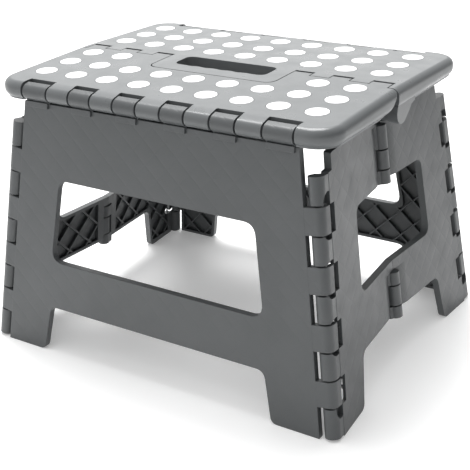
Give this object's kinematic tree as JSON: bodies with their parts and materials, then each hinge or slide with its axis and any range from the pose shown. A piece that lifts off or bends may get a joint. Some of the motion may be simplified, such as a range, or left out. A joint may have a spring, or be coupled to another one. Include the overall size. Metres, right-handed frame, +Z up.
{
  "type": "folding step stool",
  "caption": "Low folding step stool of moulded plastic: a hinged two-part tread with grip dots and a carrying loop, on leg and end panels with windows that fold flat.",
  "frame": {"origin": "centre of the footprint, on the surface that the stool stands on", "axes": "+Z up; +X along the long side of the tread and the ridge hinge; -Y is the front, the side of the carrying loop"},
  "size_m": [0.3196, 0.2556, 0.22],
  "materials": {
    "body": "satin mid-grey polypropylene with a very faint quilted relief",
    "tread": "satin light-grey polypropylene, glossier on the rounded rim and barrels",
    "dot": "soft white thermoplastic rubber",
    "pin": "drawn steel wire"
  },
  "bodies": {
    "top_rear": {"top_rear_panel": "tread", "rear_grip_dot_01": "dot", "rear_grip_dot_02": "dot", "rear_grip_dot_03": "dot", "rear_grip_dot_04": "dot", "rear_grip_dot_05": "dot", "rear_grip_dot_06": "dot", "rear_grip_dot_07": "dot", "rear_grip_dot_08": "dot", "rear_grip_dot_09": "dot", "rear_grip_dot_10": "dot", "rear_grip_dot_11": "dot", "rear_grip_dot_12": "dot", "rear_grip_dot_13": "dot", "rear_grip_dot_14": "dot", "rear_grip_dot_15": "dot", "rear_grip_dot_16": "dot", "rear_grip_dot_17": "dot", "rear_grip_dot_18": "dot", "rear_grip_dot_19": "dot", "rear_grip_dot_20": "dot", "rear_grip_dot_21": "dot", "rear_grip_dot_22": "dot", "rear_grip_dot_23": "dot", "rear_grip_dot_24": "dot", "rear_grip_dot_25": "dot", "rear_grip_dot_26": "dot", "rear_grip_dot_27": "dot", "right_ridge_pin": "pin", "left_ridge_pin": "pin"},
    "top_front": {"top_front_panel": "tread", "front_grip_dot_01": "dot", "front_grip_dot_02": "dot", "front_grip_dot_03": "dot", "front_grip_dot_04": "dot", "front_grip_dot_05": "dot", "front_grip_dot_06": "dot", "front_grip_dot_07": "dot", "front_grip_dot_08": "dot", "front_grip_dot_09": "dot", "front_grip_dot_10": "dot", "front_grip_dot_11": "dot", "front_grip_dot_12": "dot", "front_grip_dot_13": "dot", "front_grip_dot_14": "dot", "front_grip_dot_15": "dot", "front_grip_dot_16": "dot", "front_grip_dot_17": "dot", "front_grip_dot_18": "dot", "front_grip_dot_19": "dot", "front_grip_dot_20": "dot", "front_grip_dot_21": "dot", "front_grip_dot_22": "dot"},
    "leg_front": {"front_leg_panel": "body"},
    "leg_rear": {"rear_leg_panel": "body"},
    "end_right_front": {"right_front_end_panel": "body"},
    "end_right_rear": {"right_rear_end_panel": "body"},
    "end_left_front": {"left_front_end_panel": "body"},
    "end_left_rear": {"left_rear_end_panel": "body"}
  },
  "joints": [
    {"name": "top_fold", "type": "hinge", "parent": "top_rear", "child": "top_front", "pos_m": [0, 0, 0.1989], "axis": [1, 0, 0], "range_deg": [0, 180]},
    {"name": "front_leg_fold", "type": "hinge", "parent": "top_front", "child": "leg_front", "pos_m": [0, -0.104, 0.2103], "axis": [1, 0, 0], "range_deg": [-83.72, 0]},
    {"name": "rear_leg_fold", "type": "hinge", "parent": "top_rear", "child": "leg_rear", "pos_m": [0, 0.104, 0.2103], "axis": [1, 0, 0], "range_deg": [0, 83.72]},
    {"name": "right_front_end_fold", "type": "hinge", "parent": "leg_front", "child": "end_right_front", "pos_m": [0.1539, -0.1218, 0], "axis": [-0.1317, 0.1088, 0.9853], "range_deg": [0, 86.6]},
    {"name": "right_rear_end_fold", "type": "hinge", "parent": "leg_rear", "child": "end_right_rear", "pos_m": [0.1539, 0.1218, 0], "axis": [-0.1317, -0.1088, 0.9853], "range_deg": [-86.6, 0]},
    {"name": "left_front_end_fold", "type": "hinge", "parent": "leg_front", "child": "end_left_front", "pos_m": [-0.1539, -0.1218, 0], "axis": [0.1317, 0.1088, 0.9853], "range_deg": [-86.6, 0]},
    {"name": "left_rear_end_fold", "type": "hinge", "parent": "leg_rear", "child": "end_left_rear", "pos_m": [-0.1539, 0.1218, 0], "axis": [0.1317, -0.1088, 0.9853], "range_deg": [0, 86.6]}
  ],
  "couplings": [
    {"joint": "front_leg_fold", "follows": "top_fold", "ratio": -0.465},
    {"joint": "rear_leg_fold", "follows": "top_fold", "ratio": 0.465},
    {"joint": "right_front_end_fold", "follows": "top_fold", "ratio": 0.481},
    {"joint": "right_rear_end_fold", "follows": "top_fold", "ratio": -0.481},
    {"joint": "left_front_end_fold", "follows": "top_fold", "ratio": -0.481},
    {"joint": "left_rear_end_fold", "follows": "top_fold", "ratio": 0.481}
  ]
}
